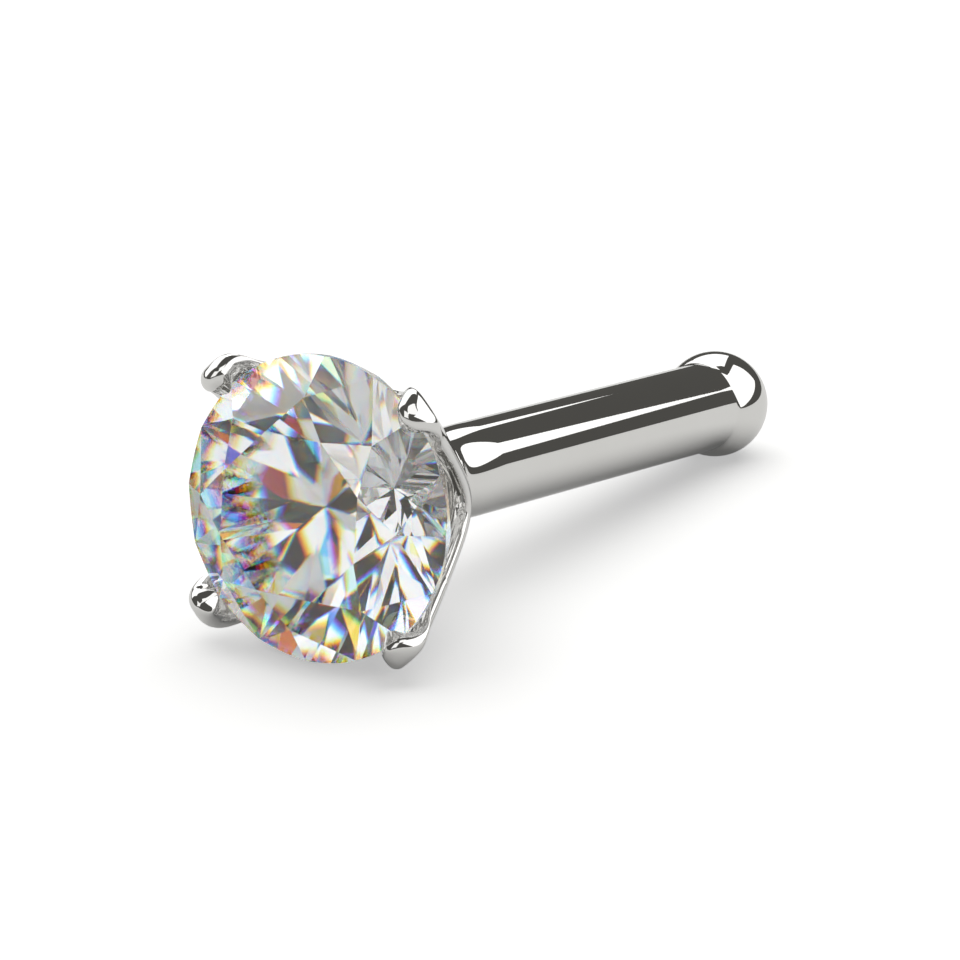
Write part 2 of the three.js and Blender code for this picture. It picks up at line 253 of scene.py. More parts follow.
@dataclass
class BrilliantStone:
    """The round brilliant: table, stars, kites and halves over the girdle, and a pointed pavilion."""

    radius: float = 1.25
    table_ratio: float = 0.56
    crown_deg: float = 34.5
    pavilion_deg: float = 40.8
    girdle_half: float = 0.0375
    star_ratio: float = 0.5
    lower_half_ratio: float = 0.77
    kites: int = 8
    turn_deg: float = 22.5
    sides_per_half: int = 12
    girdle_upright: float = 0.1
    axis_reach: float = 1e-3
    facet_deg: float = 0.5

    def _at(self, radius: float, angle: float, y: float) -> Vector:
        """Returns one point round the axis."""
        return Vector((radius * math.cos(angle), y, radius * math.sin(angle)))

    def _half_edge(self, peak: Vector, start: Vector, end: Vector, angles: np.ndarray) -> list[Vector]:
        """Finds where a half facet's plane cuts the round girdle.

        Args:
            peak: The half facet's inner corner.
            start: Its first corner on the girdle.
            end: Its last corner on the girdle.
            angles: The places round the girdle.

        Returns:
            The facet's wavy edge on the girdle.
        """
        normal = (start - peak).cross(end - peak)
        edge = []
        for angle in angles:
            place = self._at(self.radius, float(angle), 0.0)
            across = normal.x * (place.x - peak.x) + normal.z * (place.z - peak.z)
            place.y = peak.y - across / normal.y
            edge.append(place)
        return edge

    def _side(self, sector: Sector, side: StoneSide, slope_deg: float, flat: float,
              meet: float) -> list[Vector]:
        """Adds one eighth of the crown or the pavilion.

        Args:
            sector: The sector to add to.
            side: The side.
            slope_deg: The kites' slope from the girdle plane.
            flat: The table's corner radius, or 0 at a point.
            meet: The radius at which kites and halves meet.

        Returns:
            The side's wavy edge on the girdle.
        """
        step = 2.0 * math.pi / self.kites
        slope = math.tan(math.radians(slope_deg))
        angle = math.radians(self.turn_deg)

        def on_slope(radius: float, at: float, turn: float = 0.0) -> Vector:
            """Returns the point of a kite's plane at a radius and an angle, turned off the kite's middle."""
            rise = self.girdle_half + slope * (self.radius - radius * math.cos(turn))
            return self._at(radius, at, side.value * rise)

        corner = on_slope(flat, angle)
        corner_next = on_slope(flat, angle + step)
        inner = on_slope(meet, angle + step / 2, step / 2)
        inner_before = on_slope(meet, angle - step / 2, step / 2)
        foot_y = side.value * self.girdle_half
        feet = [self._at(self.radius, angle + k * step / 2, foot_y) for k in range(3)]
        turns = np.linspace(0.0, step / 2, self.sides_per_half + 1)
        first = self._half_edge(inner, feet[0], feet[1], angle + turns)
        second = self._half_edge(inner, feet[1], feet[2], angle + step / 2 + turns)
        sector.facet([corner, inner_before, feet[0], inner])
        if flat > 0.0:
            sector.facet([corner, inner, corner_next])
            sector.facet([Vector((0.0, corner.y, 0.0)), corner, corner_next])
        sector.facet([inner, *first])
        sector.facet([inner, *second])
        return [*first, *second[1:]]

    def sector(self) -> bpy.types.Mesh:
        """Lays out one eighth of the stone.

        Returns:
            The eighth, from one kite's middle to the next kite's.
        """
        sector = Sector()
        table = self.table_ratio * self.radius
        table_side = table * math.cos(math.pi / self.kites)
        star = table_side + self.star_ratio * (self.radius - table_side)
        lower = (1.0 - self.lower_half_ratio) * self.radius
        upper_edge = self._side(sector, StoneSide.CROWN, self.crown_deg, table, star)
        lower_edge = self._side(sector, StoneSide.PAVILION, self.pavilion_deg, 0.0, lower)
        for k in range(len(upper_edge) - 1):
            sector.facet([upper_edge[k], lower_edge[k], lower_edge[k + 1], upper_edge[k + 1]])
        return sector.mesh("stone_eighth")

    def build(self, copies: TurnedCopies, finish: bpy.types.Material, lie: Lie) -> bpy.types.Object:
        """Builds the stone, with each facet one flat face.

        Args:
            copies: The tree that turns the eighths round the axis.
            finish: The stone's material.
            lie: How the stud lies.

        Returns:
            The stone's object.
        """
        stone = copies.whole("brilliant_stone", self.sector(), self.kites, finish)
        shell = bmesh.new()
        shell.from_mesh(stone.data)
        table = [v for v in shell.verts if math.hypot(v.co.x, v.co.z) < self.axis_reach and v.co.y < 0.0]
        bmesh.ops.dissolve_verts(shell, verts=table)
        shell.to_mesh(stone.data)
        shell.free()
        lay_down(stone, lie, self.facet_deg)
        along = lie.matrix().to_3x3() @ Vector((0.0, 1.0 / MM, 0.0))
        girdle = stone.data.attributes.new(GIRDLE, "FLOAT", "FACE")
        for polygon in stone.data.polygons:
            polygon.use_smooth = False
            girdle.data[polygon.index].value = float(abs(polygon.normal.dot(along)) < self.girdle_upright)
        return stone


@dataclass
class ClawSetting:
    """The metal, one solid: a flared cup with four claws over the girdle, the post and its ball."""

    stone: BrilliantStone = field(default_factory=BrilliantStone)
    claws: int = 4
    cup_half_deg: float = 28.8
    cup_radius: float = 1.4
    wall: float = 0.19
    cup_back: float = 1.15
    cup_floor: float = 1.34
    scallop_behind: float = 0.86
    flare_shares: tuple[float, ...] = (1.0, 0.75, 0.4, 0.08)
    reach_radius: float = 1.47
    reach_share: float = 0.4
    front_ahead: float = 0.28
    front_share: float = 0.46
    end_radius: float = 1.175
    end_thickness: float = 0.04
    tip_half_deg: float = 13.5
    shoulder_share: float = 0.46
    outside_rounding: float = 0.15
    inside_rounding: float = 0.1
    seat_gap: float = 0.025
    post_radius: float = 0.4
    neck_slopes: tuple[tuple[float, float], ...] = (
        (1.61, 35.0), (1.65, 14.0), (1.69, 0.0), (1.745, -5.0), (1.84, -6.0), (2.02, -3.2), (2.2, 0.0),
    )
    ball_radius: float = 0.48
    ball_behind: float = 6.37
    ball_fillet: float = 0.1
    claw_hollow: float = 0.1
    hollow_behind: float = 0.25
    back_hollow: float = 0.16
    hollow_ease: float = 0.12
    tongue_share: float = 0.45
    edge_approach: float = 0.16
    foot_fan: float = 0.6
    foot_closing: float = 0.6
    foot_length: float = 0.15
    half_columns: int = 36
    half_tongue_columns: int = 18
    cup_rows: int = 26
    tongue_rows: int = 36
    floor_rows: int = 8
    fillet_rows: int = 12
    neck_rows: int = 40
    base_rows: int = 10
    post_rows: int = 20
    ball_rows: int = 30
    curve_steps: int = 4000
    edge_steps: int = 700
    crease_deg: float = 40.0

    def __post_init__(self) -> None:
        """Works out the wall's section and the outline of its edge."""
        self.half_claw = math.pi / self.claws
        self.flare = math.tan(math.radians(self.cup_half_deg))
        self._outside = self._spline(self._outside_corners())
        self._inside = self._inside_corners()
        self.outside_length = self._runs(self._outside)[-1]
        self.petal_length = (self.outside_length + self._runs(self._inside)[-1]) / 2
        valley = (self.cup_back - self.scallop_behind) / math.cos(math.radians(self.cup_half_deg))
        self.valley_share = valley / self.outside_length
        self.edge_angles = np.linspace(0.0, self.half_claw, self.edge_steps + 1)
        self.edge_shares = self.edge_share(self.edge_angles)
        radii = self.middle(self.edge_shares)[:, 0]
        sides = np.hypot(radii[1:] * np.diff(self.edge_angles), self.petal_length * np.diff(self.edge_shares))
        self.edge_runs = np.concatenate([[0.0], np.cumsum(sides)])

    def _cup_radius_at(self, y: float) -> float:
        """Returns the cup's outer radius along its straight flare."""
        return self.cup_radius - y * self.flare

    def _crown_seat(self, radius: float) -> float:
        """Finds where the metal clears the crown.

        Args:
            radius: The radius.

        Returns:
            The y that leaves the seat's gap there.
        """
        slope = math.radians(self.stone.crown_deg)
        rise = (self.stone.radius - radius) * math.tan(slope)
        return -self.stone.girdle_half - self.seat_gap / math.cos(slope) - rise

    def _pavilion_seat(self, radius: float) -> float:
        """Finds where the metal clears the pavilion.

        Args:
            radius: The radius.

        Returns:
            The y that leaves the seat's gap there.
        """
        slope = math.radians(self.stone.pavilion_deg)
        rise = (self.stone.radius - radius) * math.tan(slope)
        return self.stone.girdle_half + self.seat_gap / math.cos(slope) + rise

    def _outside_corners(self) -> np.ndarray:
        """Lists the points of the outer section.

        Returns:
            Each as (radius, y), up the flare and round the front to the claw's end.
        """
        front = -self.front_ahead
        front_width = self.reach_radius - self.end_radius
        flare = [(self._cup_radius_at(s * self.cup_back), s * self.cup_back) for s in self.flare_shares]
        return np.array([
            *flare,
            (self.reach_radius, self.reach_share * front),
            (self.reach_radius - self.front_share * front_width, front),
            (self.end_radius, self._crown_seat(self.end_radius) - self.end_thickness),
        ])

    def _inside_corners(self) -> np.ndarray:
        """Lists the folds of the inner section.

        Returns:
            Each as (radius, y): wall, pavilion, girdle and crown.
        """
        wall_across = self.wall / math.cos(math.radians(self.cup_half_deg))
        slope = math.tan(math.radians(self.stone.pavilion_deg))
        inner_at_girdle = self.cup_radius - wall_across
        seat_y = self._pavilion_seat(inner_at_girdle) / (1.0 - slope * self.flare)
        girdle = self.stone.radius + self.seat_gap
        return np.array([
            (self._cup_radius_at(self.cup_back) - wall_across, self.cup_back),
            (self._cup_radius_at(seat_y) - wall_across, seat_y),
            (girdle, self._pavilion_seat(girdle)),
            (girdle, self._crown_seat(girdle)),
            (self.end_radius, self._crown_seat(self.end_radius)),
        ])

    def _spline(self, corners: np.ndarray) -> np.ndarray:
        """Draws a smooth curve through points.

        Args:
            corners: The points, each as (radius, y).

        Returns:
            Points along the curve, close together.
        """
        spans = len(corners) - 1
        at = np.linspace(0.0, spans, self.curve_steps + 1)
        span = np.minimum(at.astype(int), spans - 1)
        t = (at - span)[:, None]
        before, start = corners[np.maximum(span - 1, 0)], corners[span]
        end, after = corners[span + 1], corners[np.minimum(span + 2, spans)]
        leave, arrive = (end - before) / 2, (after - start) / 2
        cubic = 2 * start - 2 * end + leave + arrive
        square = -3 * start + 3 * end - 2 * leave - arrive
        return cubic * t**3 + square * t**2 + leave * t + start

    def _runs(self, curve: np.ndarray) -> np.ndarray:
        """Returns the length run up to each point of a curve."""
        return np.concatenate([[0.0], np.cumsum(np.linalg.norm(np.diff(curve, axis=0), axis=1))])

    def _along(self, curve: np.ndarray, shares: np.ndarray) -> np.ndarray:
        """Finds points along a curve.

        Args:
            curve: Its points.
            shares: Shares of its length.

        Returns:
            The points there.
        """
        runs = self._runs(curve)
        at = np.asarray(shares) * runs[-1]
        return np.stack([np.interp(at, runs, curve[:, k]) for k in range(2)], axis=-1)

    def face(self, shares: np.ndarray, side: WallFace) -> np.ndarray:
        """Returns points of one face's section at shares of its length."""
        return self._along(self._outside if side is WallFace.OUTSIDE else self._inside, shares)

    def middle(self, shares: np.ndarray) -> np.ndarray:
        """Returns the middle of the wall at shares of the section."""
        return (self.face(shares, WallFace.OUTSIDE) + self.face(shares, WallFace.INSIDE)) / 2

    def edge_share(self, angle: np.ndarray) -> np.ndarray:
        """Works out how far up the section the wall goes.

        Args:
            angle: Angles from a claw's middle.

        Returns:
            Shares of the section.
        """
        scallop = 0.5 + 0.5 * np.cos(self.claws * angle)
        tip = np.exp(-((angle / math.radians(self.tip_half_deg)) ** 2))
        height = self.shoulder_share * scallop + (1.0 - self.shoulder_share) * tip
        return self.valley_share + (1.0 - self.valley_share) * height

    def edge_angle(self, share: np.ndarray) -> np.ndarray:
        """Returns the angle from a claw's middle at which the edge passes shares of the section."""
        return np.interp(share, self.edge_shares[::-1], self.edge_angles[::-1])

    def _fullness(self, angle: np.ndarray, share: np.ndarray, radius: np.ndarray,
                  rounding: float) -> np.ndarray:
        """Works out how far the wall has swelled from its round edge to its full thickness.

        Args:
            angle: Angles from the claw's middle.
            share: Shares of the section.
            radius: The wall's middle radii there.
            rounding: How far in from the edge the wall is rounded.

        Returns:
            Values from 0 on the edge to 1 within the wall.
        """
        nearest = np.full(angle.shape, rounding)
        for edge_angle, edge_share in zip(self.edge_angles, self.edge_shares):
            across = radius * (np.abs(angle) - edge_angle)
            up = self.petal_length * (share - edge_share)
            np.minimum(nearest, np.hypot(across, up), out=nearest)
        return np.sqrt(1.0 - (1.0 - nearest / rounding) ** 2)

    def _eased(self, past: np.ndarray) -> np.ndarray:
        """Returns how far points lie past a line, with a soft start instead of a crease."""
        return (past + np.hypot(past, self.hollow_ease)) / 2

    def wall_points(self, angle: np.ndarray, share: np.ndarray, side: WallFace,
                    edge: np.ndarray) -> np.ndarray:
        """Places points on one face of the wall of the first claw.

        Args:
            angle: Angles from the claw's middle.
            share: Shares of the section.
            side: The face.
            edge: Where the points lie on the wall's edge.

        Returns:
            The points.
        """
        middle = self.middle(share)
        rounding = self.outside_rounding if side is WallFace.OUTSIDE else self.inside_rounding
        full = np.where(edge, 0.0, self._fullness(angle, share, middle[..., 0], rounding))[..., None]
        point = middle + (self.face(share, side) - middle) * full
        if side is WallFace.OUTSIDE:
            behind_claw = self._eased(point[..., 1] - self.hollow_behind) * np.cos(2 * angle) ** 2
            behind_valley = self._eased(point[..., 1] - self.scallop_behind)
            hollow = self.claw_hollow * behind_claw + self.back_hollow * behind_valley
            point[..., 0] -= hollow * full[..., 0]
        return round_axis(point[..., 0], self.half_claw + angle, point[..., 1])

    def _closed_up(self, across: np.ndarray, share: np.ndarray) -> np.ndarray:
        """Returns columns' places across a tongue, drawn towards its edges past the foot."""
        closing = np.minimum(1.0, self.foot_closing + (share - self.tongue_share) / self.foot_length)
        return across + (np.sin(across * math.pi / 2) - across) * closing

    def _square_turn(self, angle: float) -> float:
        """Finds the direction square to the edge.

        Args:
            angle: The angle from a claw's middle.

        Returns:
            The direction, from straight back.
        """
        step = self.half_claw / self.edge_steps
        rise = (self.edge_share(angle + step) - self.edge_share(angle - step)) / (2 * step)
        return math.atan(-self.petal_length * rise / self.middle(self.edge_share(angle))[0])

    def _column_way(self, index: int) -> np.ndarray:
        """Draws the way of one column up the cup.

        Args:
            index: The column's count from the claw's middle.

        Returns:
            The start, control and end of a curve, each as (angle, share).
        """
        foot = float(self.edge_angle(self.tongue_share))
        if index <= self.half_tongue_columns:
            across = float(self._closed_up(index / self.half_tongue_columns, self.tongue_share))
            end = (foot * across, self.tongue_share)
            turn = self.foot_fan * across**3 * self._square_turn(foot)
        else:
            past = (index - self.half_tongue_columns) / (self.half_columns - self.half_tongue_columns)
            foot_run = np.interp(foot, self.edge_angles, self.edge_runs)
            run = foot_run + (self.edge_runs[-1] - foot_run) * math.sin(math.pi / 2 * past)
            angle = float(np.interp(run, self.edge_runs, self.edge_angles))
            end = (angle, float(self.edge_share(angle)))
            turn = self._square_turn(angle)
        radius = self.middle(end[1])[0]
        back = (self.edge_approach * math.sin(turn) / radius,
                self.edge_approach * math.cos(turn) / self.petal_length)
        base = (self.half_claw * index / self.half_columns, 0.0)
        return np.array([base, (end[0] - back[0], end[1] - back[1]), end])

    def _cup_wall(self, side: WallFace) -> np.ndarray:
        """Lays out one face of the wall below the first claw's tongue.

        Args:
            side: The face.

        Returns:
            Its rows, from the foot up.
        """
        reach = 1.0 - np.linspace(1.0, 0.0, self.cup_rows + 1) ** 2
        columns = np.arange(-self.half_columns, self.half_columns + 1)
        ways = np.array([self._column_way(abs(int(index))) for index in columns])
        t = reach[:, None, None]
        spots = (1 - t) ** 2 * ways[None, :, 0] + 2 * t * (1 - t) * ways[None, :, 1] + t**2 * ways[None, :, 2]
        angle = spots[..., 0] * np.sign(columns)
        edge = (reach[:, None] == 1.0) & (np.abs(columns) >= self.half_tongue_columns)[None, :]
        return self.wall_points(angle, spots[..., 1], side, edge)

    def _tongue(self, side: WallFace) -> np.ndarray:
        """Lays out one face of the first claw's tongue.

        Args:
            side: The face.

        Returns:
            Its rows, from the foot to the end.
        """
        shares = self.tongue_share + (1 - self.tongue_share) * np.sin(
            np.linspace(0.0, math.pi / 2, self.tongue_rows + 1))
        runs = self._runs(self._inside)
        for fold in runs[1:-1] / runs[-1]:
            shares[np.argmin(np.abs(shares - fold))] = fold
        shares[-1] = 1.0
        across = np.linspace(-1.0, 1.0, 2 * self.half_tongue_columns + 1)[None, :]
        share = np.repeat(shares[:, None], across.shape[1], axis=1)
        angle = self.edge_angle(share) * self._closed_up(across, share)
        edge = (share == 1.0) | (np.abs(across) == 1.0)
        return self.wall_points(angle, share, side, edge)

    def _stem(self) -> np.ndarray:
        """Draws the outline behind the cup.

        Returns:
            Its points as (radius, y): neck, post and ball.
        """
        slope = self._spline(np.array(self.neck_slopes))[::-(self.curve_steps // self.neck_rows)]
        drops = np.tan(np.radians((slope[1:, 1] + slope[:-1, 1]) / 2)) * np.diff(slope[:, 0])
        swell = self.post_radius - np.concatenate([[0.0], np.cumsum(drops)])
        neck = np.stack([swell, slope[:, 0]], axis=1)[::-1]
        fillet_out = self.post_radius + self.ball_fillet
        fillet_reach = self.ball_radius + self.ball_fillet
        ball_turn = math.asin(fillet_out / fillet_reach)
        post_end = self.ball_behind - fillet_reach * math.cos(ball_turn)
        post_y = np.linspace(neck[-1, 1], post_end, self.post_rows + 1)[1:]
        post = np.stack([np.full(post_y.shape, self.post_radius), post_y], axis=1)
        turns = np.linspace(0.0, math.pi / 2 - ball_turn, self.fillet_rows + 1)[1:]
        fillet = np.stack([fillet_out - self.ball_fillet * np.cos(turns),
                           post_end + self.ball_fillet * np.sin(turns)], axis=1)
        turns = np.linspace(ball_turn, math.pi, self.ball_rows + 1)[1:]
        ball = np.stack([self.ball_radius * np.sin(turns),
                         self.ball_behind - self.ball_radius * np.cos(turns)], axis=1)
        ball[-1, 0] = 0.0
        return np.concatenate([neck, post, fillet, ball])

    def _base(self, outer: np.ndarray, stem_rows: np.ndarray) -> np.ndarray:
        """Carries the cup's outside smoothly on to the neck.

        Args:
            outer: The rows of the wall's outer face, from its foot up.
            stem_rows: The rows from the neck back.

        Returns:
            The rows between them.
        """
        foot, neck = outer[0], stem_rows[0]
        span = (neck - foot)[:, 1:2]
        leave, arrive = foot - outer[1], stem_rows[1] - neck
        leave = leave / leave[:, 1:2] * span
        arrive = arrive / arrive[:, 1:2] * span
        t = np.linspace(0.0, 1.0, self.base_rows + 1)[1:-1, None, None]
        return ((2 * t**3 - 3 * t**2 + 1) * foot + (t**3 - 2 * t**2 + t) * leave
                + (3 * t**2 - 2 * t**3) * neck + (t**3 - t**2) * arrive)

    def _floor(self) -> np.ndarray:
        """Draws the cup's dished floor.

        Returns:
            Its points as (radius, y), from the axis to the wall's foot.
        """
        share = np.linspace(0.0, 1.0, self.floor_rows + 1)[:-1]
        return np.stack([share * self._inside[0, 0],
                         self.cup_floor - (self.cup_floor - self.cup_back) * share**3], axis=1)

    def sector(self) -> bpy.types.Mesh:
        """Lays out one quarter of the metal.

        Returns:
            The quarter, with one claw in its middle.
        """
        sector = Sector()
        columns = np.arange(-self.half_columns, self.half_columns + 1)
        turns = self.half_claw * (1 + columns / self.half_columns)
        stem, floor = self._stem(), self._floor()
        outer = self._cup_wall(WallFace.OUTSIDE)
        inner = self._cup_wall(WallFace.INSIDE)
        stem_rows = round_axis(stem[:, :1], turns[None, :], stem[:, 1:])
        floor_rows = round_axis(floor[:, :1], turns[None, :], floor[:, 1:])
        sector.grid(np.concatenate([outer[::-1], self._base(outer, stem_rows), stem_rows]))
        sector.grid(np.concatenate([floor_rows, inner]))
        sector.grid(self._tongue(WallFace.OUTSIDE))
        sector.grid(self._tongue(WallFace.INSIDE))
        return sector.mesh("setting_quarter")

    def build(self, copies: TurnedCopies, finish: bpy.types.Material, lie: Lie) -> bpy.types.Object:
        """Builds the metal from four quarters.

        Args:
            copies: The tree that turns the quarters round the axis.
            finish: The metal's material.
            lie: How the stud lies.

        Returns:
            The metal's object.
        """
        setting = copies.whole("claw_setting", self.sector(), self.claws, finish)
        lay_down(setting, lie, self.crease_deg)
        return setting


def new_material(name: str) -> tuple[bpy.types.Material, bpy.types.Nodes, bpy.types.NodeLinks]:
    """Starts a material with an empty node tree.

    Args:
        name: The material's name.

    Returns:
        The material, its nodes and its links.
    """
    material = bpy.data.materials.new(name)
    material.use_nodes = True
    material.node_tree.nodes.clear()
    return material, material.node_tree.nodes, material.node_tree.links


class FineGrain:
    """A shader node group, shared by the metal and the stone: a fine grain and broad soft patches."""

    def __init__(self) -> None:
        """Builds the group."""
        self.tree = bpy.data.node_groups.new("fine_grain", "ShaderNodeTree")
        sockets = self.tree.interface
        sockets.new_socket("Stretch", in_out="INPUT", socket_type="NodeSocketVector")
        sockets.new_socket("Fineness", in_out="INPUT", socket_type="NodeSocketFloat")
        sockets.new_socket("Patch Fineness", in_out="INPUT", socket_type="NodeSocketFloat")
        sockets.new_socket("Grain", in_out="OUTPUT", socket_type="NodeSocketFloat")
        sockets.new_socket("Patches", in_out="OUTPUT", socket_type="NodeSocketFloat")
        nodes, links = self.tree.nodes, self.tree.links
        given = nodes.new("NodeGroupInput")
        made = nodes.new("NodeGroupOutput")
        place = nodes.new("ShaderNodeAttribute")
        place.attribute_name = PLACE
        stretched = nodes.new("ShaderNodeVectorMath")
        stretched.operation = "MULTIPLY"
        grain = nodes.new("ShaderNodeTexNoise")
        patches = nodes.new("ShaderNodeTexNoise")
        links.new(place.outputs["Vector"], stretched.inputs[0])
        links.new(given.outputs["Stretch"], stretched.inputs[1])
        links.new(stretched.outputs["Vector"], grain.inputs["Vector"])
        links.new(given.outputs["Fineness"], grain.inputs["Scale"])
        links.new(place.outputs["Vector"], patches.inputs["Vector"])
        links.new(given.outputs["Patch Fineness"], patches.inputs["Scale"])
        links.new(grain.outputs["Fac"], made.inputs["Grain"])
        links.new(patches.outputs["Fac"], made.inputs["Patches"])

    def add(self, nodes: bpy.types.Nodes, stretch: Point, fineness: float,
            patches: float) -> bpy.types.ShaderNode:
        """Adds the group to a material.

        Args:
            nodes: The material's nodes.
            stretch: How much finer the grain is along each axis.
            fineness: The grain's fineness, per millimetre.
            patches: The patches' fineness, per millimetre.

        Returns:
            The group's node.
        """
        node = nodes.new("ShaderNodeGroup")
        node.node_tree = self.tree
        node.inputs["Stretch"].default_value = stretch
        node.inputs["Fineness"].default_value = fineness
        node.inputs["Patch Fineness"].default_value = patches
        return node


@dataclass(frozen=True)
class PolishedMetal:
    """White precious metal, turned and mirror polished, with faint lines left by the buffing wheel."""

    colour: Colour = (0.815, 0.81, 0.795)
    dull_colour: Colour = (0.775, 0.768, 0.75)
    roughness: float = 0.012
    dull_roughness: float = 0.034
    line_stretch: Point = (0.7, 6.0, 0.7)
    line_fineness: float = 7.0
    line_depth: float = 6e-8
    patch_fineness: float = 1.6

    def material(self, grain: FineGrain) -> bpy.types.Material:
        """Returns the metal's material.

        Args:
            grain: The shared grain.

        Returns:
            The material.
        """
        material, nodes, links = new_material("polished_white_metal")
        polish = grain.add(nodes, self.line_stretch, self.line_fineness, self.patch_fineness)
        tone = nodes.new("ShaderNodeMix")
        tone.data_type = "RGBA"
        tone.inputs["A"].default_value = (*self.colour, 1.0)
        tone.inputs["B"].default_value = (*self.dull_colour, 1.0)
        gloss = nodes.new("ShaderNodeMapRange")
        gloss.inputs["To Min"].default_value = self.roughness
        gloss.inputs["To Max"].default_value = self.dull_roughness
        lines = nodes.new("ShaderNodeBump")
        lines.inputs["Strength"].default_value = 1.0
        lines.inputs["Distance"].default_value = self.line_depth
        surface = nodes.new("ShaderNodeBsdfPrincipled")
        surface.inputs["Metallic"].default_value = 1.0
        output = nodes.new("ShaderNodeOutputMaterial")
        links.new(polish.outputs["Patches"], tone.inputs["Factor"])
        links.new(polish.outputs["Patches"], gloss.inputs["Value"])
        links.new(polish.outputs["Grain"], lines.inputs["Height"])
        links.new(tone.outputs["Result"], surface.inputs["Base Color"])
        links.new(gloss.outputs["Result"], surface.inputs["Roughness"])
        links.new(lines.outputs["Normal"], surface.inputs["Normal"])
        links.new(surface.outputs["BSDF"], output.inputs["Surface"])
        return material


@dataclass(frozen=True)
class ClearStone:
    """A colourless stone that splits white light into its colours."""

    index: float = 2.417
    spread: float = 0.34
    bands: tuple[Colour, ...] = (
        (0.3, 0.0, 1.0), (0.0, 0.3, 1.0), (0.0, 0.8, 0.9), (0.1, 1.0, 0.2),
        (0.9, 0.95, 0.0), (1.0, 0.45, 0.0), (1.0, 0.0, 0.0),
    )

    frost_stretch: Point = (1.0, 1.0, 1.0)
    frost_fineness: float = 40.0
    frost_roughness: float = 0.4

    def band_colours(self) -> np.ndarray:
        """Returns the bands' colours from violet to red, evened out to make white together."""
        colours = np.array(self.bands)
        return colours / colours.mean(axis=0)

    def material(self, grain: FineGrain) -> bpy.types.Material:
        """Builds the stone's material: clear glass with bands of colour where the eye looks in.

        Args:
            grain: The shared grain, which frosts the girdle.

        Returns:
            The material.
        """
        material, nodes, links = new_material("clear_cut_stone")
        girdle = nodes.new("ShaderNodeAttribute")
        girdle.attribute_name = GIRDLE
        frost = grain.add(nodes, self.frost_stretch, self.frost_fineness, self.frost_fineness)
        frosted = nodes.new("ShaderNodeMath")
        frosted.operation = "MULTIPLY"
        roughness = nodes.new("ShaderNodeMath")
        roughness.operation = "MULTIPLY"
        roughness.inputs[1].default_value = self.frost_roughness
        links.new(girdle.outputs["Fac"], frosted.inputs[0])
        links.new(frost.outputs["Grain"], frosted.inputs[1])
        links.new(frosted.outputs[0], roughness.inputs[0])
        body = nodes.new("ShaderNodeBsdfPrincipled")
        body.inputs["Base Color"].default_value = (1.0, 1.0, 1.0, 1.0)
        links.new(roughness.outputs[0], body.inputs["Roughness"])
        body.inputs["IOR"].default_value = self.index
        body.inputs["Transmission Weight"].default_value = 1.0
        fire = None
        indices = self.index + self.spread * (np.linspace(0.0, 1.0, len(self.bands)) - 0.5)
        for k, (colour, index) in enumerate(zip(self.band_colours(), indices)):
            band = nodes.new("ShaderNodeBsdfGlass")
            band.inputs["Color"].default_value = (*map(float, colour), 1.0)
            links.new(roughness.outputs[0], band.inputs["Roughness"])
            band.inputs["IOR"].default_value = float(index)
            if fire is None:
                fire = band.outputs["BSDF"]
                continue
            mix = nodes.new("ShaderNodeMixShader")
            mix.inputs["Fac"].default_value = 1.0 / (k + 1)
            links.new(fire, mix.inputs[1])
            links.new(band.outputs["BSDF"], mix.inputs[2])
            fire = mix.outputs["Shader"]
        path = nodes.new("ShaderNodeLightPath")
        look = nodes.new("ShaderNodeMixShader")
        output = nodes.new("ShaderNodeOutputMaterial")
        links.new(path.outputs["Is Camera Ray"], look.inputs["Fac"])
        links.new(body.outputs["BSDF"], look.inputs[1])
        links.new(fire, look.inputs[2])
        links.new(look.outputs["Shader"], output.inputs["Surface"])
        return material


class Reach(Enum):
    """What a lamp is there for."""

    SHAPES = "mirrored shapes"
    FLOOR = "even light on the floor"


@dataclass(frozen=True)
class Softbox:
    """A flat lamp with sharp edges, facing the stud, moved sideways in its own plane."""

    name: str
    azimuth_deg: float
    elevation_deg: float
    distance: float
    width: float
    height: float
    radiance: float
    roll_deg: float = 0.0
    aside: float = 0.0
    reach: Reach = Reach.SHAPES

    def place(self) -> bpy.types.Object:
        """Places the lamp in the scene.

        Returns:
            The lamp's object.
        """
        azimuth, elevation = math.radians(self.azimuth_deg), math.radians(self.elevation_deg)
        level = math.cos(elevation)
        away = Vector((level * math.sin(azimuth), -level * math.cos(azimuth), math.sin(elevation)))
        lamp = bpy.data.lights.new(self.name, "AREA")
        lamp.shape = "RECTANGLE"
        lamp.size = self.width * MM
        lamp.size_y = self.height * MM
        lamp.energy = self.radiance * math.pi * lamp.size * lamp.size_y
        stand = bpy.data.objects.new(self.name, lamp)
        roll = Matrix.Rotation(math.radians(self.roll_deg), 3, "Z")
        turn = (-away).to_track_quat("-Z", "Y").to_matrix() @ roll
        stand.location = (away * self.distance + turn @ Vector((self.aside, 0.0, 0.0))) * MM
        stand.rotation_euler = turn.to_euler()
        stand.visible_camera = False
        stand.visible_diffuse = self.reach is Reach.FLOOR
        stand.visible_glossy = stand.visible_transmission = self.reach is Reach.SHAPES
        bpy.context.scene.collection.objects.link(stand)
        return stand


